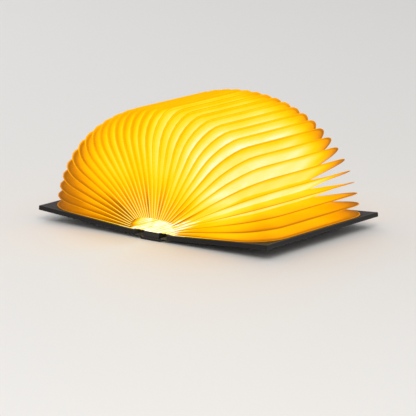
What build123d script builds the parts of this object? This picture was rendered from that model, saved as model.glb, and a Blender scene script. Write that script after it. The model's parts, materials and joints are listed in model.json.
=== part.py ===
from build123d import *
import os
from math import atan2, cos, degrees, pi, sin, tan

os.makedirs("parts", exist_ok=True)

# Folding book lamp, open on a table. Millimetres. +Z up, +Y along the spine, +X over the right cover.
# The origin is on the table, under the middle of the spine.

# ---- the book as a whole
rest_tilt = 3.8  # each cover's rise above level, degrees
page_length = 210.0  # along the spine
page_width = 128.0  # from the hub to the fore-edge
page_corner = 40.0  # radius of a page's two outer corners
cover_overhang = 3.0  # cover beyond the pages, at head and foot
fore_edge_overhang = 3.5  # cover beyond the pages, at the fore-edge
half_count = 16  # leaves on each side of the middle leaf

# ---- hinge line of each cover
hinge_x = 17.0  # half the thickness of the closed book, at mid cloth
hinge_z = 3.2  # height of the hinge line over the table
cloth = 0.5  # book cloth
board = 4.6  # cover board
lining = 0.3  # end paper and the cloth turned in beside it
joint_gap = 7.0  # groove of bare cloth between the hinge line and the board
fold_gap = 0.1  # hinge strip to hinge line

# ---- paper bellows
sheet = 0.2  # one pleat wall
leaf = 2 * sheet  # two sheets bonded
seam = 4.0  # bonded seam round a leaf's rim
pleat_depth = 46.0  # rim to valley
valley_corner = 6.0  # radius of a valley's corners
rim_corner_steps = 6  # facets of a rim's rounded corner
pleat_corner_steps = 4  # facets of a pleat's rounded corner
paper_gap = 0.3  # clearance of paper to whatever moves beside it
upper_lean = 0.8  # steeper than an even fan, degrees
lower_sag = 1.4  # flatter than an even fan, degrees
sag_start = 0.62  # share of the half fan where leaning turns to sagging
hub_gap = 0.6  # pleats' ends beyond the leaves' ends
arch_half_width = 32.4  # hub arch, at the foot of the bellows
arch_foot = 9.5  # height of the arch's foot
arch_rise = 10.2  # arch over its foot, where the leaves' roots lie
hub_trim = 5.1  # middle leaf's paper cut back from its root; less toward the covers

# ---- spine
spine_margin = 0.2  # flat of the spine beyond the tray's side
spine_board = 2.0
spine_edge_gap = 0.5  # spine cloth to hinge line

# ---- light tray in the spine
tray_half_width = 10.8
tray_overhang = 1.0  # tray beyond the pages, at head and foot
tray_height = 7.1
tray_wall = 1.2
tray_floor = 1.0
tray_rebate = 0.6  # step for the diffuser
tray_corner = 1.0
ledge_width = 1.0
ledge_height = 3.4
diffuser_thick = 0.9
fit = 0.05  # one side of a seated fit
led_board_thick = 0.8
led_board_side_gap = 0.2
led_board_foot_gap = 1.8  # board to the tray's foot wall
led_board_head_room = 12.8  # room for the socket
led_rows = 2
led_row_gap = 10.0
led_pitch = 16.0
led_edge = 7.0  # first diode's middle to the board's end
led_size = (2.8, 3.5, 0.7)
boss_radius = 2.0
boss_sides = 12
boss_edge = 4.0  # first boss's middle to the board's foot
screw_shank = 0.8
screw_length = 3.0
screw_head = 1.5
screw_head_high = 0.6
cell_size = (16.0, 90.0, 2.8)
cell_room = 4.0  # boss to whatever lies beside it along the tray
cell_lift = 0.1
cell_edge = 0.7
control_size = (16.0, 45.0, 0.8)
control_lift = 0.4
hall_size = (3.0, 4.0, 1.0)
hall_x = 6.0
hall_edge = 6.0  # sensors' middle to the control board's inner end
socket_width = 8.9
socket_height = 3.2
socket_depth = 7.3
socket_skin = 0.3
socket_proud = 0.2  # mouth beyond the tray's end
tongue_width = 6.6
tongue_thick = 0.7
tongue_depth = 5.0
light_pipe_radius = 1.0
light_pipe_length = 2.4
light_pipe_x = 7.6

# ---- magnets in the covers
magnet_radius = 6.0
magnet_thick = 2.5
magnet_inset = 16.0  # centre to the board's edges
trigger_size = (4.0, 6.0, 2.0)
trigger_inset = 4.0

# ---- covers' edges
cover_edge = 0.8  # rounding of the cloth over the board's edges
turn_in = 3.0  # cloth that shows round the end paper

# ---- gutter paper
gutter_creases = 18  # folds across the sheet
crease_high = 0.25
gutter_side_gap = 1.2  # to the arch's foot

# ---- worked out from the sizes above
cover_length = page_length + 2 * cover_overhang
spine_flat = tray_half_width + spine_margin  # half-width of the flat that stands on the table
cover_skin = cloth / 2 + board + lining  # hinge line to the cover's inner face
leaf_lift = cover_skin + paper_gap + leaf / 2  # hinge line to the outermost leaf's middle
leaf_pitch = (hinge_x - leaf_lift) / half_count  # leaf to leaf in the closed book
tray_length = page_length + 2 * tray_overhang
tray_base = cloth + spine_board
tray_top = tray_base + tray_height
diffuser_base = tray_top - diffuser_thick
led_board_base = tray_base + tray_floor + ledge_height
led_base = led_board_base + led_board_thick
tray_inner = tray_half_width - tray_wall
led_board_foot = tray_wall + led_board_foot_gap - tray_length / 2
led_board_head = tray_length / 2 - tray_wall - led_board_head_room
leds_per_row = 1 + int((led_board_head - led_board_foot - 2 * led_edge) / led_pitch)
control_top = tray_base + tray_floor + control_lift + control_size[2]
control_head = tray_length / 2 - tray_wall - fit
control_foot = control_head - control_size[1]
hall_y = control_foot + hall_edge
cell_foot = led_board_foot + boss_edge + boss_radius + cell_room
boss_stations = (
    led_board_foot + boss_edge,
    cell_foot + cell_size[1] + cell_room + boss_radius,
    control_foot - cell_room - boss_radius,
)
socket_base = control_top
sides = {"right": 1, "left": -1}


def fan_angle(n):
    """Rest angle of leaf n above level, in degrees; n is 0 at the middle leaf."""
    share = n / half_count
    if share < sag_start:
        lean = upper_lean * sin(pi * share / sag_start)
    else:
        lean = -lower_sag * sin(pi * (share - sag_start) / (1 - sag_start))
    return 90.0 - (90.0 - rest_tilt) * share + lean


def leaf_plane(side, n):
    """Plane of leaf n at rest: origin at its root, x out to the fore-edge."""
    t = fan_angle(n) * pi / 180
    reach = arch_half_width * cos(t) ** 2 + (arch_foot + arch_rise * sin(t)) * sin(t)
    reach -= hinge_x * cos(t) + hinge_z * sin(t)
    offset = hinge_x - n * leaf_pitch
    root = (
        side * (hinge_x + reach * cos(t) - offset * sin(t)),
        0,
        hinge_z + reach * sin(t) + offset * cos(t),
    )
    return Plane(origin=root, x_dir=(side * cos(t), 0, sin(t)), z_dir=(-side * sin(t), 0, cos(t)))


def cover_plane(side, height=0.0):
    """Plane of a cover at rest: origin on its hinge line, x out to the fore-edge."""
    t = rest_tilt * pi / 180
    hinge = Plane(
        origin=(side * hinge_x, 0, hinge_z),
        x_dir=(side * cos(t), 0, sin(t)),
        z_dir=(-side * sin(t), 0, cos(t)),
    )
    return hinge.offset(height)


def root_reach():
    """Hinge line to the outermost leaf's root, along the cover."""
    return leaf_plane(1, half_count).origin.sub(Vector(hinge_x, 0, hinge_z)).dot(cover_plane(1).x_dir)


def finish(piece, name):
    piece.label = name
    export_step(piece, f"parts/{name}.step")


cover_reach = root_reach() + page_width + fore_edge_overhang  # hinge line to the cover's fore-edge


def paper_start(n):
    """Root of leaf n to where its paper starts, along the leaf."""
    return hub_trim * sin(fan_angle(n) * pi / 180) ** 2


def c_outline(start, inset, radius, steps):
    """Points round three sides of a page, inset from its edge, with two rounded corners."""
    near = [(start, inset - page_length / 2)]
    for k in range(steps + 1):
        a = (k / steps - 1) * pi / 2
        across = page_width - inset - radius * (1 - cos(a))
        near.append((across, inset + radius * (1 + sin(a)) - page_length / 2))
    return near + [(u, -v) for u, v in reversed(near)]


# ---- leaves: a stiff bonded rim round three sides of each C-shaped page
def leaf_rim(plane, start):
    with BuildPart() as rim:
        with BuildSketch(plane):
            with BuildLine():
                Polyline(*c_outline(start, 0, page_corner, rim_corner_steps), close=True)
            make_face()
            with BuildLine():
                Polyline(*c_outline(start, seam, page_corner - seam, rim_corner_steps), close=True)
            make_face(mode=Mode.SUBTRACT)
        extrude(amount=leaf / 2, both=True)
    return rim.part


finish(leaf_rim(leaf_plane(1, 0), paper_start(0)), "middle_leaf")
for side_name, side in sides.items():
    for n in range(1, half_count + 1):
        finish(leaf_rim(leaf_plane(side, n), paper_start(n)), f"{side_name}_leaf_{n:02d}")


# ---- pleats: a folded wall from each rim in to a valley and back out to the next rim
def pleat_section(side, n, lip, valley):
    """V of paper across the pleat between leaves n and n + 1: rim, valley, rim and back inside."""
    middle = leaf_plane(side, n + 0.5)
    lip = middle.from_local_coords(Vector(*lip))
    valley = middle.from_local_coords(Vector(*valley))
    clear = leaf / 2 + paper_gap / 2
    inner, outer = (
        (rim.origin - lip).dot(rim.z_dir) / middle.z_dir.dot(rim.z_dir)
        for rim in (leaf_plane(side, n), leaf_plane(side, n + 1))
    )
    inner, outer = inner - clear, outer + clear
    notch = valley + (lip - valley) * (2 * sheet / (inner - outer))
    up = middle.z_dir
    return [
        lip + up * inner,
        valley,
        lip + up * outer,
        lip + up * (outer + sheet),
        notch,
        lip + up * (inner - sheet),
    ]


def pleat(side, n):
    """Closed skin over the V sections, hub to hub; its outside and inside are split alike."""
    start = paper_start(n + 0.5) + hub_gap
    lap = seam + paper_gap
    lips = c_outline(start, lap, page_corner - lap, pleat_corner_steps)
    valleys = c_outline(start, pleat_depth, valley_corner, pleat_corner_steps)
    sections = [pleat_section(side, n, lip, valley) for lip, valley in zip(lips, valleys)]
    faces = [Face(Wire.make_polygon(ring)) for ring in (sections[0], sections[-1])]
    for near, far in zip(sections, sections[1:]):
        for k in range(len(near)):
            corners = [near[k - 1], near[k], far[k], far[k - 1]]
            if k > len(near) // 2:
                corners = corners[1:] + corners[:1]
            faces.append(Face(Wire.make_polygon(corners[:3])))
            faces.append(Face(Wire.make_polygon([corners[0], *corners[2:]])))
    return Solid(Shell(faces))


for side_name, side in sides.items():
    finish(Compound(children=[pleat(side, n) for n in range(half_count)]), f"{side_name}_pleats")


# ---- spine: cloth and board with a flat back and rounded shoulders
def spine_strip(outer, inner):
    """Closed profile of a layer between two depths in from the spine's outer face."""
    run = hinge_x - spine_edge_gap - spine_flat
    radius = (run**2 + hinge_z**2) / (2 * hinge_z)
    sweep = degrees(atan2(run, radius - hinge_z))
    with BuildLine() as line:
        ends = []
        for depth in (outer, inner):
            flat = Line((-spine_flat, depth), (spine_flat, depth))
            right = CenterArc((spine_flat, radius), radius - depth, -90, sweep)
            left = CenterArc((-spine_flat, radius), radius - depth, -90, -sweep)
            ends.append((right @ 1, left @ 1))
        Line(ends[0][0], ends[1][0])
        Line(ends[0][1], ends[1][1])
    return line.line


spine_board_length = cover_length - 2 * cloth
with BuildPart() as spine_cloth:
    with BuildSketch(Plane.XZ):
        with BuildLine():
            add(spine_strip(0, tray_base))
        make_face()
    extrude(amount=cover_length / 2, both=True)
    with BuildSketch(Plane.XZ):
        with BuildLine():
            add(spine_strip(cloth, tray_base + cloth))
        make_face()
    extrude(amount=spine_board_length / 2, both=True, mode=Mode.SUBTRACT)
finish(spine_cloth.part, "spine_cloth")

with BuildPart() as spine_back:
    with BuildSketch(Plane.XZ):
        with BuildLine():
            add(spine_strip(cloth, tray_base))
        make_face()
    extrude(amount=spine_board_length / 2, both=True)
finish(spine_back.part, "spine_board")

# ---- light tray: trough with ledges, screw bosses, a rebate for the diffuser and a socket window
with BuildPart() as tray:
    with BuildSketch(Plane.XY.offset(tray_base)):
        RectangleRounded(2 * tray_half_width, tray_length, tray_corner)
    extrude(amount=tray_height)
    with BuildSketch(Plane.XY.offset(tray_base + tray_floor)):
        Rectangle(2 * (tray_inner - ledge_width), tray_length - 2 * tray_wall)
    extrude(amount=tray_height, mode=Mode.SUBTRACT)
    with BuildSketch(Plane.XY.offset(led_board_base)):
        Rectangle(2 * tray_inner, tray_length - 2 * tray_wall)
    extrude(amount=tray_height, mode=Mode.SUBTRACT)
    with BuildSketch(Plane.XY.offset(diffuser_base)):
        Rectangle(2 * (tray_inner + tray_rebate), tray_length - 2 * (tray_wall - tray_rebate))
    extrude(amount=tray_height, mode=Mode.SUBTRACT)
    with BuildSketch(Plane.XY.offset(tray_base + tray_floor)):
        with Locations([(0, y) for y in boss_stations]):
            RegularPolygon(boss_radius, boss_sides)
    extrude(amount=ledge_height)
    with BuildSketch(Plane.XY.offset(led_board_base)):
        with Locations([(0, y) for y in boss_stations]):
            RegularPolygon(screw_shank, boss_sides)
    extrude(amount=-screw_length, mode=Mode.SUBTRACT)
    with BuildSketch(Plane.XZ.offset(-tray_length / 2)):
        with Locations((0, socket_base + socket_height / 2)):
            SlotOverall(socket_width + 2 * fit, socket_height + 2 * fit)
        with Locations((light_pipe_x, socket_base + socket_height / 2)):
            Circle(light_pipe_radius)
    extrude(amount=tray_wall, mode=Mode.SUBTRACT)
finish(tray.part, "light_tray")

with BuildPart() as diffuser:
    with BuildSketch(Plane.XY.offset(diffuser_base)):
        Rectangle(
            2 * (tray_inner + tray_rebate - fit),
            tray_length - 2 * (tray_wall - tray_rebate + fit),
        )
    extrude(amount=diffuser_thick)
finish(diffuser.part, "diffuser")

with BuildPart() as led_board:
    with BuildSketch(Plane.XY.offset(led_board_base)):
        with Locations((0, (led_board_foot + led_board_head) / 2)):
            Rectangle(2 * (tray_inner - led_board_side_gap), led_board_head - led_board_foot)
        with Locations([(0, y) for y in boss_stations]):
            RegularPolygon(screw_shank + fit, boss_sides, mode=Mode.SUBTRACT)
    extrude(amount=led_board_thick)
finish(led_board.part, "led_board")

with BuildPart() as leds:
    with BuildSketch(Plane.XY.offset(led_base)):
        with Locations((0, (led_board_foot + led_board_head) / 2)):
            with GridLocations(led_row_gap, led_pitch, led_rows, leds_per_row):
                Rectangle(led_size[0], led_size[1])
    extrude(amount=led_size[2])
finish(leds.part, "leds")

with BuildPart() as board_screws:
    for y in boss_stations:
        with BuildSketch(Plane((0, y, led_base))):
            RegularPolygon(screw_head, boss_sides)
        extrude(amount=screw_head_high)
        with BuildSketch(Plane((0, y, led_base))):
            RegularPolygon(screw_shank - fit, boss_sides)
        extrude(amount=-(led_board_thick + screw_length - 2 * fit))
finish(board_screws.part, "board_screws")

with BuildPart() as cell:
    with BuildSketch(Plane.XY.offset(tray_base + tray_floor + cell_lift)):
        with Locations((0, cell_foot + cell_size[1] / 2)):
            Rectangle(cell_size[0], cell_size[1])
    extrude(amount=cell_size[2])
    chamfer(cell.edges().filter_by(Axis.Y), cell_edge)
finish(cell.part, "battery_cell")

with BuildPart() as control_board:
    with BuildSketch(Plane.XY.offset(control_top - control_size[2])):
        with Locations((0, (control_foot + control_head) / 2)):
            Rectangle(control_size[0], control_size[1])
    extrude(amount=control_size[2])
finish(control_board.part, "control_board")

with BuildPart() as hall_sensors:
    with BuildSketch(Plane.XY.offset(control_top)):
        with Locations((hall_x, hall_y), (-hall_x, hall_y)):
            Rectangle(hall_size[0], hall_size[1])
    extrude(amount=hall_size[2])
finish(hall_sensors.part, "hall_sensors")

socket_mouth = Plane.XZ.offset(-(tray_length / 2 + socket_proud))
with BuildPart() as socket_shell:
    with BuildSketch(socket_mouth):
        with Locations((0, socket_base + socket_height / 2)):
            SlotOverall(socket_width, socket_height)
    extrude(amount=socket_depth)
    with BuildSketch(socket_mouth):
        with Locations((0, socket_base + socket_height / 2)):
            SlotOverall(socket_width - 2 * socket_skin, socket_height - 2 * socket_skin)
    extrude(amount=socket_depth - socket_skin, mode=Mode.SUBTRACT)
finish(socket_shell.part, "charging_socket")

with BuildPart() as socket_tongue:
    with BuildSketch(socket_mouth.offset(socket_depth - socket_skin)):
        with Locations((0, socket_base + socket_height / 2)):
            Rectangle(tongue_width, tongue_thick)
    extrude(amount=-tongue_depth)
finish(socket_tongue.part, "socket_tongue")

with BuildPart() as light_pipe:
    with BuildSketch(Plane.XZ.offset(-tray_length / 2)):
        with Locations((light_pipe_x, socket_base + socket_height / 2)):
            Circle(light_pipe_radius - fit)
    extrude(amount=light_pipe_length)
finish(light_pipe.part, "charge_light_pipe")

# ---- gutter paper: creased sheet over the tray, from one end paper to the other
gutter_half = arch_half_width - gutter_side_gap


def gutter_height(x):
    """Middle of the sheet: level over the tray, then down to the end papers."""
    middle = tray_top + paper_gap + sheet / 2 + crease_high
    foot = cover_plane(1, cover_skin + paper_gap + sheet / 2 + crease_high)
    foot_z = foot.origin.Z + (gutter_half - foot.origin.X) * tan(rest_tilt * pi / 180)
    share = max(0.0, (abs(x) - tray_half_width) / (gutter_half - tray_half_width))
    return middle + (foot_z - middle) * share


with BuildPart() as gutter_paper:
    with BuildSketch(Plane.XZ):
        with BuildLine():
            across = [gutter_half * (2 * k / gutter_creases - 1) for k in range(gutter_creases + 1)]
            ridge = [
                (x, gutter_height(x) + crease_high * (-1) ** k) for k, x in enumerate(across)
            ]
            under = [(x, z - sheet) for x, z in ridge]
            Polyline(*ridge, *reversed(under), close=True)
        make_face()
    extrude(amount=page_length / 2, both=True)
finish(gutter_paper.part, "gutter_paper")


# ---- covers: board with magnets, wrapped in cloth, lined with an end paper
board_start = joint_gap
board_end = cover_reach - cloth
board_half = cover_length / 2 - cloth
magnet_spots = [
    (board_end - magnet_inset, board_half - magnet_inset),
    (board_end - magnet_inset, magnet_inset - board_half),
]


def cover_panel(low, high, half):
    """Rectangle on a cover's plane, between two distances from its hinge line."""
    with BuildSketch(mode=Mode.PRIVATE) as outline:
        with Locations(((low + high) / 2, 0)):
            Rectangle(high - low, 2 * half)
    return outline.sketch


for side_name, side in sides.items():
    trigger_spot = (board_start + trigger_inset, side * hall_y)
    board_top = cloth / 2 + board

    with BuildPart() as cover_board:
        with BuildSketch(cover_plane(side, cloth / 2)):
            add(cover_panel(board_start, board_end, board_half))
        extrude(amount=board)
        with BuildSketch(cover_plane(side, board_top)):
            with Locations(magnet_spots):
                Circle(magnet_radius + fit)
        extrude(amount=-magnet_thick, mode=Mode.SUBTRACT)
        with BuildSketch(cover_plane(side, board_top)):
            with Locations(trigger_spot):
                Rectangle(trigger_size[0] + 2 * fit, trigger_size[1] + 2 * fit)
        extrude(amount=-trigger_size[2], mode=Mode.SUBTRACT)
    finish(cover_board.part, f"{side_name}_cover_board")

    with BuildPart() as magnets:
        with BuildSketch(cover_plane(side, board_top)):
            with Locations(magnet_spots):
                Circle(magnet_radius)
        extrude(amount=-(magnet_thick - fit))
        with BuildSketch(cover_plane(side, board_top)):
            with Locations(trigger_spot):
                Rectangle(trigger_size[0], trigger_size[1])
        extrude(amount=-(trigger_size[2] - fit))
    finish(magnets.part, f"{side_name}_magnets")

    with BuildPart() as cover_cloth:
        with BuildSketch(cover_plane(side, -cloth / 2)):
            add(cover_panel(board_start - cloth, cover_reach, cover_length / 2))
        extrude(amount=cloth + board + lining)
        up = Axis((0, 0, 0), cover_plane(side).z_dir)
        out = Axis((0, 0, 0), cover_plane(side).x_dir)
        loops = cover_cloth.edges().group_by(up)
        fillet(loops[0].sort_by(out)[1:] + loops[-1].sort_by(out)[1:], cover_edge)
        with BuildSketch(cover_plane(side, cloth / 2)):
            add(cover_panel(board_start, board_end, board_half))
        extrude(amount=board, mode=Mode.SUBTRACT)
        with BuildSketch(cover_plane(side, board_top)):
            add(cover_panel(board_start, cover_reach - turn_in, cover_length / 2 - turn_in))
        extrude(amount=lining, mode=Mode.SUBTRACT)
    finish(cover_cloth.part, f"{side_name}_cover_cloth")

    with BuildPart() as end_paper:
        with BuildSketch(cover_plane(side, board_top)):
            add(
                cover_panel(
                    board_start + fit, cover_reach - turn_in - fit, cover_length / 2 - turn_in - fit
                )
            )
        extrude(amount=lining)
    finish(end_paper.part, f"{side_name}_end_paper")

    with BuildPart() as hinge_strip:
        with BuildSketch(cover_plane(side, -cloth / 2)):
            with Locations(((fold_gap + board_start - cloth) / 2, 0)):
                Rectangle(board_start - cloth - fold_gap, cover_length)
        extrude(amount=cloth)
    finish(hinge_strip.part, f"{side_name}_hinge_strip")
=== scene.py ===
import json
import math
import random
from types import SimpleNamespace
import bpy
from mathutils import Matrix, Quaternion, Vector


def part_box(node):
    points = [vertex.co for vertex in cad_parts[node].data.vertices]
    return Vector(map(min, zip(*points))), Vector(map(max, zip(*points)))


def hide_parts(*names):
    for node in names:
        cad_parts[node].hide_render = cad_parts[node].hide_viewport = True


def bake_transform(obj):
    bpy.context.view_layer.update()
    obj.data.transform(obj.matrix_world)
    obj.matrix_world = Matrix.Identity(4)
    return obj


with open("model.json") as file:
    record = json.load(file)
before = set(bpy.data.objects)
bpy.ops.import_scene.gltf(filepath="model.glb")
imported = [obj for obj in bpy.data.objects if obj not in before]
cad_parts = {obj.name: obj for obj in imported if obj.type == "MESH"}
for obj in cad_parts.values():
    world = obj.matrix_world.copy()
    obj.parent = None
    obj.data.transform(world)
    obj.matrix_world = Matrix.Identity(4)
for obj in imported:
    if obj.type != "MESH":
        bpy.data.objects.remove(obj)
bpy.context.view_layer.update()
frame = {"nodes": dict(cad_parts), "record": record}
scene = bpy.context.scene
nodes = frame["nodes"]
halfCount = len([n for n in nodes if n.startswith("right_leaf_")])
sideNames = {1: "right", -1: "left"}


# helpers

def linear(level):  # one 8-bit display level as a scene value
    c = level / 255
    return c / 12.92 if c <= 0.04045 else ((c + 0.055) / 1.055) ** 2.4


def colour(red, green, blue):
    return (linear(red), linear(green), linear(blue), 1.0)


def dim(shade, share):  # the display levels of a shade that reflects a share of the light
    return [255 * (linear(level) * share) ** (1 / 2.4) for level in shade]


def smoothStep(low, high, x):
    t = min(1.0, max(0.0, (x - low) / (high - low)))
    return t * t * (3 - 2 * t)


def mixValue(a, b, t):
    return a + (b - a) * t


def deselectAll():
    if bpy.context.object and bpy.context.object.mode != "OBJECT":
        bpy.ops.object.mode_set(mode="OBJECT")
    bpy.ops.object.select_all(action="DESELECT")


def onlySelect(piece):
    deselectAll()
    piece.select_set(True)
    bpy.context.view_layer.objects.active = piece


def addGrid(name, columns, rows):  # a flat unit grid, which the caller lays out point by point
    deselectAll()
    bpy.ops.mesh.primitive_grid_add(x_subdivisions=columns, y_subdivisions=rows, size=1, location=(0, 0, 0))
    piece = bpy.context.object
    piece.name = name
    return piece


def gridPlace(share, steps):  # number of the grid line at a coordinate from -0.5 to 0.5
    return round((share + 0.5) * steps)


def thickenSheet(piece, thickness):
    onlySelect(piece)
    modifier = piece.modifiers.new("solidify", "SOLIDIFY")
    modifier.thickness = thickness
    modifier.offset = 0.0
    bpy.ops.object.modifier_apply(modifier=modifier.name)
    bpy.ops.object.mode_set(mode="EDIT")
    bpy.ops.mesh.select_all(action="SELECT")
    bpy.ops.mesh.normals_make_consistent(inside=False)
    bpy.ops.object.mode_set(mode="OBJECT")


# shader nodes

def newMaterial(name):
    material = bpy.data.materials.new(name)
    material.use_nodes = True
    return material, material.node_tree, material.node_tree.nodes["Principled BSDF"]


def addNode(tree, kind, **settings):
    node = tree.nodes.new(kind)
    for key, value in settings.items():
        if key in node.inputs:
            node.inputs[key].default_value = value
        else:
            setattr(node, key, value)
    return node


def setSockets(node, values):
    for key, value in values.items():
        node.inputs[key].default_value = value


def mathNode(tree, operation, a, b=0.0, c=0.0):
    node = tree.nodes.new("ShaderNodeMath")
    node.operation = operation
    for socket, value in zip(node.inputs, (a, b, c)):
        if isinstance(value, (int, float)):
            socket.default_value = value
        else:
            tree.links.new(value, socket)
    return node.outputs[0]


def rampNode(tree, factor, stops):
    ramp = tree.nodes.new("ShaderNodeValToRGB")
    while len(ramp.color_ramp.elements) < len(stops):
        ramp.color_ramp.elements.new(1.0)
    for element, (place, shade) in zip(ramp.color_ramp.elements, stops):
        element.position = place
        element.color = colour(*shade)
    tree.links.new(factor, ramp.inputs["Fac"])
    return ramp.outputs["Color"]


def noiseNode(tree, scale, detail=2.0, stretch=(1, 1, 1)):
    place = addNode(tree, "ShaderNodeTexCoord")
    mapping = addNode(tree, "ShaderNodeMapping", Scale=stretch)
    noise = addNode(tree, "ShaderNodeTexNoise", Scale=scale, Detail=detail)
    tree.links.new(place.outputs["Object"], mapping.inputs["Vector"])
    tree.links.new(mapping.outputs["Vector"], noise.inputs["Vector"])
    return noise.outputs["Fac"]


def rangeNode(tree, factor, fromMin, fromMax, toMin, toMax):
    node = addNode(tree, "ShaderNodeMapRange", interpolation_type="SMOOTHSTEP")
    setSockets(node, {"From Min": fromMin, "From Max": fromMax, "To Min": toMin, "To Max": toMax})
    tree.links.new(factor, node.inputs["Value"])
    return node.outputs["Result"]


def attributeNode(tree, name):
    return addNode(tree, "ShaderNodeAttribute", attribute_name=name).outputs["Fac"]


def bumpNode(tree, shader, height, strength, distance):
    bump = addNode(tree, "ShaderNodeBump", Strength=strength, Distance=distance)
    tree.links.new(height, bump.inputs["Height"])
    tree.links.new(bump.outputs["Normal"], shader.inputs["Normal"])


# paper: one ramp from a glow level to what it gives off and what it shows of the light on it

# the glow is painted light: emission that stands in for the diodes' light passing through the paper
paperLook = {
    "stops": (
        (0.00, (44, 22, 2)), (0.15, (112, 62, 3)), (0.28, (165, 99, 3)), (0.38, (203, 126, 1)),
        (0.48, (234, 154, 1)), (0.56, (246, 172, 0)), (0.64, (252, 188, 0)), (0.71, (255, 202, 4)),
        (0.77, (255, 212, 30)), (0.83, (255, 220, 66)), (0.89, (255, 228, 110)),
        (0.94, (255, 236, 158)), (0.98, (255, 245, 212)), (1.00, (255, 252, 240)),
    ),
    "glow": 0.88,  # of a shade, what the paper gives off
    "lit": 0.28,  # of a shade, what it shows of the light on it
    "fibre": (420, 3.0, (1, 0.45, 1)),  # a noise's scale, detail and stretch
    "fibreDepth": 0.035,
    "blotch": (60, 2.0),
    "blotchDepth": 0.016,
    "finish": {"Roughness": 0.75, "Specular IOR Level": 0.05},
    "bump": (0.25, 0.0002),  # strength and height
}


def paperMaterial(name, level):  # level builds the glow level's socket from the tree
    look = paperLook
    material, tree, shader = newMaterial(name)
    fibre = noiseNode(tree, *look["fibre"])
    blotch = noiseNode(tree, *look["blotch"])
    glow = level(tree)
    for texture, depth in ((fibre, look["fibreDepth"]), (blotch, look["blotchDepth"])):
        lift = mathNode(tree, "SUBTRACT", texture, 0.5)
        glow = mathNode(tree, "MULTIPLY_ADD", lift, 2 * depth, glow)
    shade = rampNode(tree, glow, look["stops"])
    lit = rampNode(tree, glow, [(place, dim(rgb, look["lit"])) for place, rgb in look["stops"]])
    tree.links.new(lit, shader.inputs["Base Color"])
    tree.links.new(shade, shader.inputs["Emission Color"])
    setSockets(shader, {"Emission Strength": look["glow"], **look["finish"]})
    bumpNode(tree, shader, fibre, *look["bump"])
    return material


def paintedLevel(tree):  # the level painted on the piece's points
    return attributeNode(tree, "glow")


weldLook = {"pitch": 0.0024, "inset": 0.0031, "halfWidth": 0.0005, "dark": 0.07}


def weldedLevel(tree):  # the painted level, with a line of weld dots along the seam
    look = weldLook
    turns = mathNode(tree, "MULTIPLY", attributeNode(tree, "run"), 2 * math.pi / look["pitch"])
    beat = mathNode(tree, "SINE", turns)
    away = mathNode(tree, "SUBTRACT", attributeNode(tree, "inset"), look["inset"])
    near = mathNode(tree, "LESS_THAN", mathNode(tree, "ABSOLUTE", away), look["halfWidth"])
    dot = mathNode(tree, "MULTIPLY", near, mathNode(tree, "GREATER_THAN", beat, 0.0))
    return mathNode(tree, "MULTIPLY_ADD", dot, -look["dark"], paintedLevel(tree))


rimLook = {
    "near": 0.03,  # distances from the light over which a rim loses its glow
    "far": 0.135,
    "bright": 0.87,
    "dull": 0.59,
    "lowSlope": 0.75,  # height over distance below which a rim counts as low
    "lowDim": 0.19,
    "leftDim": 0.09,  # more on the left
}


def rimLevel(tree):  # a rim's bare edge, duller far from the light and low down
    look = rimLook
    place = addNode(tree, "ShaderNodeTexCoord")
    split = addNode(tree, "ShaderNodeSeparateXYZ")
    tree.links.new(place.outputs["Object"], split.inputs["Vector"])
    flat = addNode(tree, "ShaderNodeCombineXYZ")
    tree.links.new(split.outputs["X"], flat.inputs["X"])
    tree.links.new(split.outputs["Z"], flat.inputs["Z"])
    length = addNode(tree, "ShaderNodeVectorMath", operation="LENGTH")
    tree.links.new(flat.outputs[0], length.inputs[0])
    reach = length.outputs["Value"]
    slope = mathNode(tree, "DIVIDE", split.outputs["Z"], reach)
    far = rangeNode(tree, reach, look["near"], look["far"], look["bright"], look["dull"])
    share = rangeNode(tree, reach, look["near"], look["far"], 0.0, 1.0)
    low = rangeNode(tree, slope, 0.0, look["lowSlope"], 1.0, 0.0)
    left = mathNode(tree, "LESS_THAN", split.outputs["X"], 0.0)
    most = mathNode(tree, "MULTIPLY_ADD", left, look["leftDim"], look["lowDim"])
    loss = mathNode(tree, "MULTIPLY", mathNode(tree, "MULTIPLY", low, most), share)
    return mathNode(tree, "SUBTRACT", far, loss)


clothLook = {
    "weaveScale": 520,
    "weaveWander": 0.6,
    "weaveShare": 0.6,  # of the shade, the rest is wear
    "wear": (35, 4.0),
    "stops": ((0.0, (10, 9, 9)), (0.5, (20, 18, 17)), (1.0, (34, 31, 29))),
    "finish": {"Roughness": 0.82, "Specular IOR Level": 0.3, "Sheen Weight": 0.15},
    "bump": (0.5, 0.00015),
}


def clothMaterial():  # close black book cloth with a fine weave and a slight sheen
    look = clothLook
    material, tree, shader = newMaterial("bookCloth")
    place = addNode(tree, "ShaderNodeTexCoord")
    threads = []
    for axis in ("X", "Y"):
        wave = addNode(tree, "ShaderNodeTexWave", Scale=look["weaveScale"], bands_direction=axis)
        wave.inputs["Distortion"].default_value = look["weaveWander"]
        tree.links.new(place.outputs["Object"], wave.inputs["Vector"])
        threads.append(wave.outputs["Fac"])
    weave = mathNode(tree, "MULTIPLY", *threads)
    wear = mathNode(tree, "MULTIPLY", noiseNode(tree, *look["wear"]), 1 - look["weaveShare"])
    mixed = mathNode(tree, "MULTIPLY_ADD", weave, look["weaveShare"], wear)
    tree.links.new(rampNode(tree, mixed, look["stops"]), shader.inputs["Base Color"])
    setSockets(shader, look["finish"])
    bumpNode(tree, shader, weave, *look["bump"])
    return material


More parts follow.
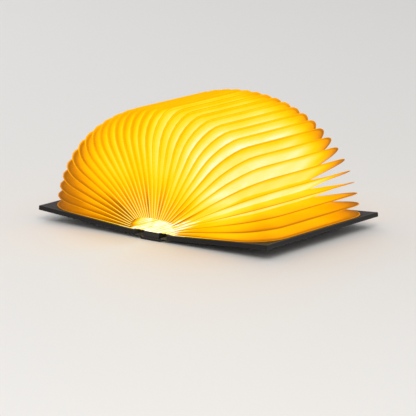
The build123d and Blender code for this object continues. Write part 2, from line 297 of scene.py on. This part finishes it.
grainLooks = {  # slot: (name, dark shade, light shade, grain, roughness, metallic)
    "end_paper": ("endPaper", (17, 15, 15), (27, 25, 24), (260, 4.0, (1, 0.3, 1)), 0.7, 0.0),
    "board": ("board", (58, 48, 40), (84, 72, 60), (240, 3.0), 0.9, 0.0),
    "tray": ("tray", (16, 16, 17), (26, 26, 27), (900, 3.0), 0.45, 0.0),
    "led_board": ("led_board", (214, 214, 208), (232, 232, 228), (150, 3.0), 0.4, 0.0),
    "steel": ("steel", (168, 168, 172), (196, 196, 200), (600, 3.0), 0.32, 1.0),
    "cell": ("cell", (176, 178, 182), (200, 202, 206), (90, 3.0), 0.35, 1.0),
    "control_board": ("control_board", (10, 62, 30), (18, 84, 42), (180, 3.0), 0.4, 0.0),
    "chips": ("chips", (18, 18, 20), (30, 30, 32), (700, 3.0), 0.5, 0.0),
    "clear": ("clear", (214, 220, 226), (232, 236, 240), (120, 3.0), 0.2, 0.0),
    "magnet": ("magnet", (150, 150, 156), (182, 182, 188), (300, 3.0), 0.25, 1.0),
}
grainFinish = {"darkAt": 0.3, "lightAt": 0.7, "bump": (0.2, 0.0001)}


def grainMaterial(slot):  # a plain finish with a faint grain
    look = grainFinish
    name, dark, light, noise, roughness, metallic = grainLooks[slot]
    material, tree, shader = newMaterial(name)
    grain = noiseNode(tree, *noise)
    shade = rampNode(tree, grain, ((look["darkAt"], dark), (look["lightAt"], light)))
    tree.links.new(shade, shader.inputs["Base Color"])
    setSockets(shader, {"Roughness": roughness, "Metallic": metallic})
    bumpNode(tree, shader, grain, *look["bump"])
    return material


lampLooks = {  # slot: (name, shade, glow)
    "diffuser": ("diffuser", (255, 246, 222), 0.6),
    "leds": ("diodes", (255, 232, 150), 0.8),
}
lampFinish = {"grainScale": 700, "dull": 0.94, "dullAt": 0.2, "fullAt": 0.8, "roughness": 0.5}


def lampMaterial(slot):  # lit plastic: the diffuser and the diodes
    look = lampFinish
    name, shade, glow = lampLooks[slot]
    material, tree, shader = newMaterial(name)
    dull = tuple(int(look["dull"] * level) for level in shade)
    grain = noiseNode(tree, look["grainScale"])
    lit = rampNode(tree, grain, ((look["dullAt"], dull), (look["fullAt"], shade)))
    tree.links.new(lit, shader.inputs["Base Color"])
    tree.links.new(lit, shader.inputs["Emission Color"])
    setSockets(shader, {"Emission Strength": glow, "Roughness": look["roughness"]})
    return material


paperWall = paperMaterial("pleatPaper", weldedLevel)
gutterSheet = paperMaterial("gutterPaper", paintedLevel)
slotMaterials = {"paper": paperMaterial("rimPaper", rimLevel), "cloth": clothMaterial()}
slotMaterials.update({slot: grainMaterial(slot) for slot in grainLooks})
slotMaterials.update({slot: lampMaterial(slot) for slot in lampLooks})

for part in frame["record"]["subparts"]:
    mesh = nodes[part["node"]].data
    mesh.materials.clear()
    mesh.materials.append(slotMaterials[part["material_slot"]])
print("materials done")


# the page planes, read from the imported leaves

leafBands = {"root": 0.002, "edge": 0.0003}  # how near a page's two ends its points are taken


def middleOf(points):  # middle of the points' box, on the plane across the spine
    xs = [p.x for p in points]
    zs = [p.z for p in points]
    return Vector(((min(xs) + max(xs)) / 2, 0, (min(zs) + max(zs)) / 2))


def readLeaf(side, n):  # a page at rest: its root, its direction outward and its upper normal
    name = f"{sideNames[side]}_leaf_{n:02d}" if n else "middle_leaf"
    points = [v.co for v in nodes[name].data.vertices]
    reach = [math.hypot(p.x, p.z) for p in points]
    nearest, farthest = min(reach), max(reach)
    near = [p for p, r in zip(points, reach) if r < nearest + leafBands["root"]]
    far = [p for p, r in zip(points, reach) if r > farthest - leafBands["edge"]]
    root = middleOf(near)
    line = middleOf(far) - root
    out = line.normalized()
    return SimpleNamespace(
        body=name if n else "spine",
        root=root,
        width=line.length,
        length=max(p.y for p in points) - min(p.y for p in points),
        out=out,
        up=Vector((-side * out.z, 0, side * out.x)),
    )


leaves = {side: [readLeaf(side, n) for n in range(halfCount + 1)] for side in sideNames}
pageLength = leaves[1][0].length


# pleats: soft paper walls between two pages, round three sides

pleatLook = {
    "corner": 0.040,  # radius of a page's outer corners, as the rims have
    "lap": 0.0011,  # the rim's edge that stays bare
    "seam": 0.0040,  # bonded band
    "seamEnd": 0.02,  # share of the depth where the seam's painted shade ends
    "depth": 0.046,  # rim to valley
    "valleyCorner": 0.006,
    "lift": 0.00028,  # wall's middle over the rim's middle
    "sheet": 0.0002,
    "edgeSteps": 20,
    "cornerSteps": 12,
    "foreSteps": 12,
    "wallSteps": 9,
    "waver": 0.16,  # sideways wander of a wall, share of the gap
    "waves": 3,  # summed for that wander
    "waveCount": (0.6, 3.2),  # of each, in one pleat's length
    "smoothAngle": 40,  # degrees
    "blendAt": 0.090,  # a distance out along a page
}


def pageLine(width, inset, radius):  # round three sides of a page, inset from its edge: (u, v)
    look = pleatLook
    straight = width - inset - radius
    half = pageLength / 2 - inset
    near = [(straight * k / look["edgeSteps"], -half) for k in range(look["edgeSteps"])]
    for k in range(look["cornerSteps"]):
        a = math.pi / 2 * (k / look["cornerSteps"] - 1)
        near.append((straight + radius * math.cos(a), radius - half + radius * math.sin(a)))
    run = half - radius
    near += [(width - inset, run * (k / look["foreSteps"] - 1)) for k in range(look["foreSteps"])]
    return near + [(width - inset, 0.0)] + [(u, -v) for u, v in reversed(near)]


def lineLengths(line):
    lengths = [0.0]
    for (u, v), (p, q) in zip(line, line[1:]):
        lengths.append(lengths[-1] + math.hypot(p - u, q - v))
    return lengths


def pleatRows():  # across a pleat: (share of the depth, share of the gap), no depth on a rim's edge
    look = pleatLook
    rows = [(None, 1.0), (0.0, 1.0), (look["seamEnd"], 1.0)]
    for k in range(1, look["wallSteps"]):
        share = k / look["wallSteps"]
        rows.append((share, math.cos(share * math.pi / 2)))
    return rows + [(1.0, 0.0)] + [(depth, -gap) for depth, gap in reversed(rows)]


def gapTo(point, up, leaf):  # from the pleat's middle plane to a page, along the middle normal
    return (leaf.root - point).dot(leaf.up) / up.dot(leaf.up)


glowLook = {
    "lower": (0.71, 0.92),  # of a wall on the page below: at its seam, and where it is deep
    "upper": (0.81, 0.97),  # of a wall on the page above, which the light comes through
    "deepLower": 0.17,  # share of the depth where a wall has its full glow
    "deepUpper": 0.32,
    "seamLower": (0.04, 0.06),  # painted shade on the bonded seam, where the light passes two sheets, from the standing pages to the lowest
    "seamUpper": (0.05, 0.16),
    "evenHalf": 0.05,  # half the length over which the light is even
    "near": 0.045,  # distances from the middle of the light over which it falls off
    "far": 0.165,
    "fall": (0.06, 0.31),  # fall from the standing pages to the lowest
    "fallBend": 1.5,
    "upperShare": 0.30,  # of that fall, on the walls that the light comes through
    "lowest": 0.05,  # more for the last few pages
    "lowestFrom": 0.82,
    "leftLow": 0.24,  # more on the left, where the low pages lie closer
    "rightLow": 0.06,
    "lowFrom": (0.45, 0.95),  # shares of the fan over which these two come in
    "tipLower": (0.04, 0.22),  # painted shade at a page's outer corners, where less light reaches
    "tipUpper": (0.24, 0.56),
    "nearTip": 0.15,  # share of that on the front corners
    "frontReach": (0.065, 0.055),  # where the darker corners start, out along a page and to its end
    "rearReach": (0.045, 0.030),
    "tipFull": (0.118, 0.105),  # where they are darkest
    "dimmest": 0.25,  # the least that a wall glows
    "dimSlope": 0.3,  # what is left of the differences below it
    "hub": (0.12, 0.19),  # painted shade where the pages crowd together, from the standing pages to the lowest
    "hubReach": (0.060, 0.080),
    "hubFull": 0.010,
    "hubDeep": (0.050, 0.075),  # distances from the middle over which that comes in
    "inside": 0.30,  # brighter in the tunnel over the light
    "insideEnd": (0.102, 0.092),
    "insideReach": (0.044, 0.034),
    "uneven": 0.035,  # page to page
    "streaks": 0.012,  # along a page
    "streakCount": 7,
    "fold": 0.14,  # deepest chance shadow of a fold by the hub
    "folds": {"leftPleat02": 0.19, "leftPleat11": 0.26, "rightPleat03": 0.15, "rightPleat12": 0.24},
    "foldReach": (0.060, 0.010),
    "foldDeep": 0.09,
}


def pageGlow(n, u, v, point, depthShare, upperWall):
    look = glowLook
    share = (n + 0.5) / halfCount
    flat = math.hypot(point.x, point.z)
    beyond = max(0.0, abs(point.y) - look["evenHalf"])
    away = smoothStep(look["near"], look["far"], math.hypot(flat, beyond))
    fall = away * mixValue(*look["fall"], share ** look["fallBend"])
    fall += look["lowest"] * smoothStep(look["lowestFrom"], 1.0, share)
    fall += look["leftLow" if point.x < 0 else "rightLow"] * smoothStep(*look["lowFrom"], share)
    if upperWall:
        fall *= look["upperShare"]
    # painted shade at the outer corners
    reach = look["frontReach" if v < 0 else "rearReach"]
    corner = smoothStep(reach[0], look["tipFull"][0], u) * smoothStep(reach[1], look["tipFull"][1], abs(v))
    if upperWall and v < 0:
        corner *= look["nearTip"]
    fall += mixValue(*look["tipUpper" if upperWall else "tipLower"], share) * corner
    low, high = look["upper" if upperWall else "lower"]
    deep = look["deepUpper" if upperWall else "deepLower"]
    glow = mixValue(low, high, smoothStep(0.0, deep, depthShare)) - fall
    # painted shade on the bonded seam
    if depthShare == 0:
        glow -= mixValue(*look["seamUpper" if upperWall else "seamLower"], share)
    inside = smoothStep(*look["insideEnd"], abs(point.y)) * smoothStep(*look["insideReach"], flat)
    return glow + look["inside"] * inside


def hubLoss(n, u, v, shadow):  # the glow a wall loses to painted shade where the pages crowd together
    look = glowLook
    share = (n + 0.5) / halfCount
    loss = shadow * smoothStep(*look["foldReach"], u) * (abs(v) > look["foldDeep"])
    crowd = smoothStep(mixValue(*look["hubReach"], share), look["hubFull"], u)
    return loss + mixValue(*look["hub"], share) * crowd * smoothStep(*look["hubDeep"], abs(v))


def makePleat(side, n):
    look = pleatLook
    upper, lower = leaves[side][n], leaves[side][n + 1]
    out = (upper.out + lower.out).normalized()
    up = Vector((-side * out.z, 0, side * out.x))
    root = (upper.root + lower.root) / 2
    width = (upper.width + lower.width) / 2
    bare = pageLine(width, look["lap"], look["corner"] - look["lap"])
    lip = pageLine(width, look["seam"], look["corner"] - look["seam"])
    valley = pageLine(width, look["depth"], look["valleyCorner"])
    runs = lineLengths(lip)
    rows = pleatRows()
    columns = len(lip) - 1
    name = f"{sideNames[side]}Pleat{n + 1:02d}"
    chance = random.Random(100 * n + (1 if side > 0 else 2))  # a seed for each pleat
    waves = []
    for k in range(look["waves"]):
        waves.append((chance.uniform(*look["waveCount"]), chance.uniform(0, 2 * math.pi)))
    shift = chance.uniform(-1, 1) * glowLook["uneven"]
    shadow = glowLook["folds"].get(name, glowLook["fold"] * chance.random() ** 3)
    piece = addGrid(name, columns, len(rows) - 1)
    layers = {key: piece.data.attributes.new(key, "FLOAT", "POINT") for key in ("glow", "run", "inset")}
    for vertex in piece.data.vertices:
        i = gridPlace(vertex.co.x, columns)
        depth, gapShare = rows[gridPlace(vertex.co.y, len(rows) - 1)]
        if depth is None:
            u, v = bare[i]
            inset = look["lap"]
        else:
            u = mixValue(lip[i][0], valley[i][0], depth)
            v = mixValue(lip[i][1], valley[i][1], depth)
            inset = look["seam"] + depth * look["depth"]
        depth = depth or 0
        along = i / columns
        point = root + u * out + Vector((0, v, 0))
        gap = abs(gapTo(point, up, upper)) - look["lift"]
        waver = sum(math.sin(2 * math.pi * count * along + phase) for count, phase in waves) / look["waves"]
        offset = gap * gapShare + look["waver"] * gap * waver * math.sin(math.pi * depth)
        vertex.co = point + offset * up
        glow = pageGlow(n, u, v, vertex.co, depth, gapShare > 0) + shift - hubLoss(n, u, v, shadow)
        streak = math.sin(2 * math.pi * glowLook["streakCount"] * along + waves[0][1])
        glow += glowLook["streaks"] * streak
        glow = max(glow, glowLook["dimmest"] + glowLook["dimSlope"] * glow)
        for key, value in (("glow", glow), ("run", runs[i]), ("inset", inset)):
            layers[key].data[vertex.index].value = value
    thickenSheet(piece, look["sheet"])
    bpy.ops.object.shade_smooth_by_angle(angle=math.radians(look["smoothAngle"]))
    piece.data.materials.append(paperWall)
    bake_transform(piece)
    return piece


for side, name in sideNames.items():
    pleats = [makePleat(side, n) for n in range(halfCount)]
    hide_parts(f"{name}_pleats")
    print(name, "pleats done")


# gutter paper: the creased sheet over the lit tray, one half on each side

gutterLook = {
    "folds": 9,  # creases in one half
    "foldHigh": 0.00055,
    "foldShare": (0.5, 1.0),  # of that height, by chance
    "pitch": (0.6, 1.4),  # distances between the creases, against one another
    "swell": (0.35, 9),  # of a crease's height: share of it, and radians from end to end
    "wander": (0.0003, 7),  # of a crease to its side: metres, and radians from end to end
    "tuckStart": 0.022,  # where the sheet begins to come down to the end papers
    "tuck": 0.016,  # how far it then runs on under the lowest page
    "rest": 0.75,  # sheets over the end paper
    "sheet": 0.0002,
    "lengthSteps": 24,
    "glow": 1.08,
    "edgeDim": 0.08,  # less at the outer edges
    "edgeFrom": 0.3,
    "creaseDim": (0.10, 0.42),  # painted shade in a crease, by chance
    "seed": 7,
    "bendStart": 0.011,
    "bendEnd": 0.030,
}


def endPaperLine(band=0.001):  # the right end paper's inner upper edge, and its slope
    points = [v.co for v in nodes["right_end_paper"].data.vertices]
    first, last = min(p.x for p in points), max(p.x for p in points)
    inner = max((p for p in points if p.x < first + band), key=lambda p: p.z)
    outer = max((p for p in points if p.x > last - band), key=lambda p: p.z)
    return inner, (outer.z - inner.z) / (outer.x - inner.x)


def makeGutter(side, name, low, high):
    look = gutterLook
    chance = random.Random(look["seed"] + side)
    columns = 2 * look["folds"]
    places = [0.0]
    for k in range(columns):
        places.append(places[-1] + chance.uniform(*look["pitch"]))
    edge = high.x + look["tuck"]
    places = [p / places[-1] * edge for p in places]
    heights = []
    for k in range(columns + 1):
        heights.append(chance.uniform(*look["foldShare"]) * look["foldHigh"] * (1 if k % 2 else -1))
    heights[0] = heights[-1] = 0.0
    drift = [chance.uniform(0, 2 * math.pi) for k in range(columns + 1)]
    level = high.z - look["foldHigh"]
    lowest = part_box("light_tray")[1].z + look["sheet"]  # clear of the tray's top
    inner, slope = endPaperLine()
    swell, swellRun = look["swell"]
    wander, wanderRun = look["wander"]
    piece = addGrid(name, columns, look["lengthSteps"])
    layer = piece.data.attributes.new("glow", "FLOAT", "POINT")
    for vertex in piece.data.vertices:
        i = gridPlace(vertex.co.x, columns)
        share = vertex.co.y + 0.5
        x = places[i]
        if 0 < i < columns:
            x += wander * math.sin(wanderRun * share + drift[i])
        fold = heights[i] * (1 + swell * math.sin(swellRun * share + drift[i]))
        rest = inner.z + slope * (x - inner.x) + look["rest"] * look["sheet"]
        down = smoothStep(look["tuckStart"], high.x, x)
        z = mixValue(max(level + fold, lowest), rest, down)
        vertex.co = (side * x, mixValue(low.y, high.y, share), z)
        glow = look["glow"] - look["edgeDim"] * smoothStep(look["edgeFrom"], 1.0, places[i] / edge)
        # painted shade in the creases
        if i % 2 == 0:
            glow -= chance.uniform(*look["creaseDim"])
        layer.data[vertex.index].value = glow
    thickenSheet(piece, look["sheet"])
    piece.data.materials.append(gutterSheet)
    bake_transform(piece)
    return piece


low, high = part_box("gutter_paper")
gutters = [makeGutter(side, name, low, high) for side, name in ((1, "gutterRight"), (-1, "gutterLeft"))]
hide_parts("gutter_paper")
print("gutter paper done")


# camera, floor and light

cameraLook = {
    "azimuth": 37.07,  # degrees round from straight in front
    "elevation": 12.52,
    "distance": 3.854,
    "target": (0.0174, -0.0230, 0.0253),
    "lens": 291.2,  # for a frame of the sensor's width, both in millimetres
    "sensor": 36,
    "roll": 0.35,  # degrees
    "clipEnd": 50,
}


def addCamera():
    look = cameraLook
    az, el = math.radians(look["azimuth"]), math.radians(look["elevation"])
    back = Vector((math.sin(az) * math.cos(el), -math.cos(az) * math.cos(el), math.sin(el)))
    deselectAll()
    bpy.ops.object.camera_add(location=Vector(look["target"]) + look["distance"] * back)
    camera = bpy.context.object
    turn = Quaternion((0, 0, 1), math.radians(look["roll"]))
    camera.rotation_euler = ((-back).to_track_quat("-Z", "Y") @ turn).to_euler()
    camera.data.lens = look["lens"]
    camera.data.sensor_width = look["sensor"]
    camera.data.clip_end = look["clipEnd"]
    scene.camera = camera


floorLook = {"size": 16.0, "shade": (226, 224, 220), "roughness": 0.6}


def addFloor():
    deselectAll()
    bpy.ops.mesh.primitive_plane_add(size=floorLook["size"], location=(0, 0, 0))
    floor = bpy.context.object
    floor.name = "floor"
    material, tree, shader = newMaterial("floor")
    setSockets(shader, {"Base Color": colour(*floorLook["shade"]), "Roughness": floorLook["roughness"]})
    floor.data.materials.append(material)


lightLooks = {  # name: (place, size, power, colour)
    "keyLight": ((1.2, -1.6, 2.0), 1.6, 32.0, (1.0, 0.98, 0.95)),
    "fillLight": ((-1.8, 0.6, 1.6), 2.0, 12.0, (0.95, 0.97, 1.0)),
}


def addLight(name):  # a soft lamp that looks at the middle of the book
    place, size, power, shade = lightLooks[name]
    deselectAll()
    bpy.ops.object.light_add(type="AREA", location=place)
    light = bpy.context.object
    light.name = name
    light.data.size = size
    light.data.energy = power
    light.data.color = shade
    light.rotation_euler = (-Vector(place)).to_track_quat("-Z", "Y").to_euler()


worldLook = {"shade": (236, 236, 238), "level": 0.78}


def addWorld():
    world = bpy.data.worlds.new("studio")
    world.use_nodes = True
    sky = world.node_tree.nodes["Background"]
    setSockets(sky, {"Color": colour(*worldLook["shade"]), "Strength": worldLook["level"]})
    scene.world = world


addCamera()
addFloor()
for name in lightLooks:
    addLight(name)
addWorld()
scene.view_settings.view_transform = "Standard"
print("camera, floor and light done")
